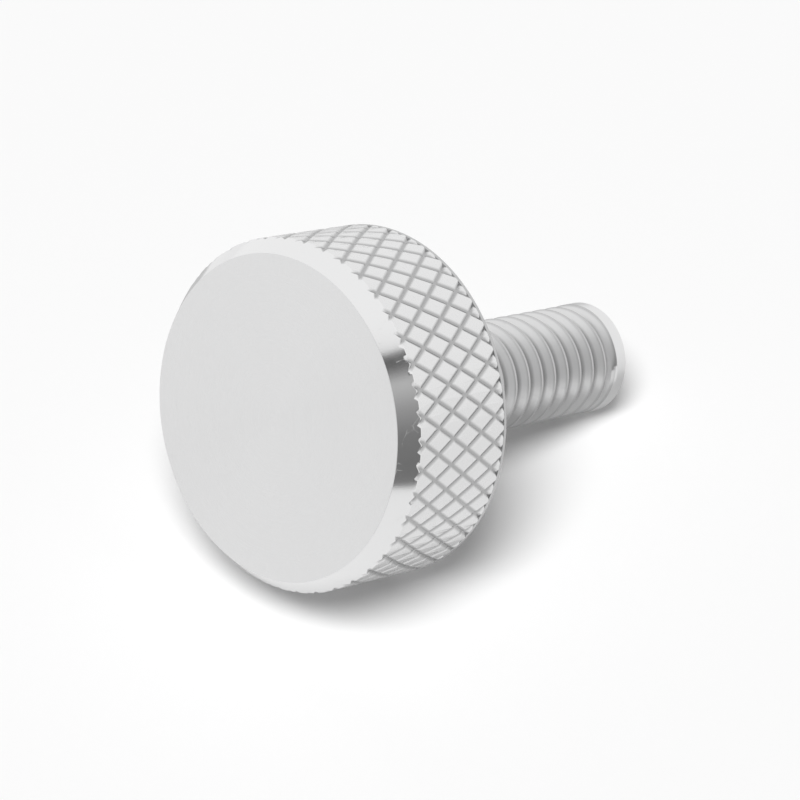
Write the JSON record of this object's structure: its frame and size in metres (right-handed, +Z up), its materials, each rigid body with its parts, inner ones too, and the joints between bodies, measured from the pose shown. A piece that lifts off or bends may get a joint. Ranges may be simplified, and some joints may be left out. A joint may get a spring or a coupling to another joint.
{
  "type": "thumb screw",
  "caption": "Thumb screw with a flat round head, knurled in diamonds round its rim and bevelled round its face, on a threaded stud that screws in by hand.",
  "frame": {"origin": "on the desk, under the middle of the screw as it lies", "axes": "+X towards the stud's tip, +Y across the screw, +Z up from the desk"},
  "size_m": [0.018, 0.012, 0.0127],
  "materials": {
    "metal": "bright nickel plate, satin on the face and polished on the bevel"
  },
  "bodies": {
    "root": {"thumb_screw": "metal"}
  },
  "joints": []
}
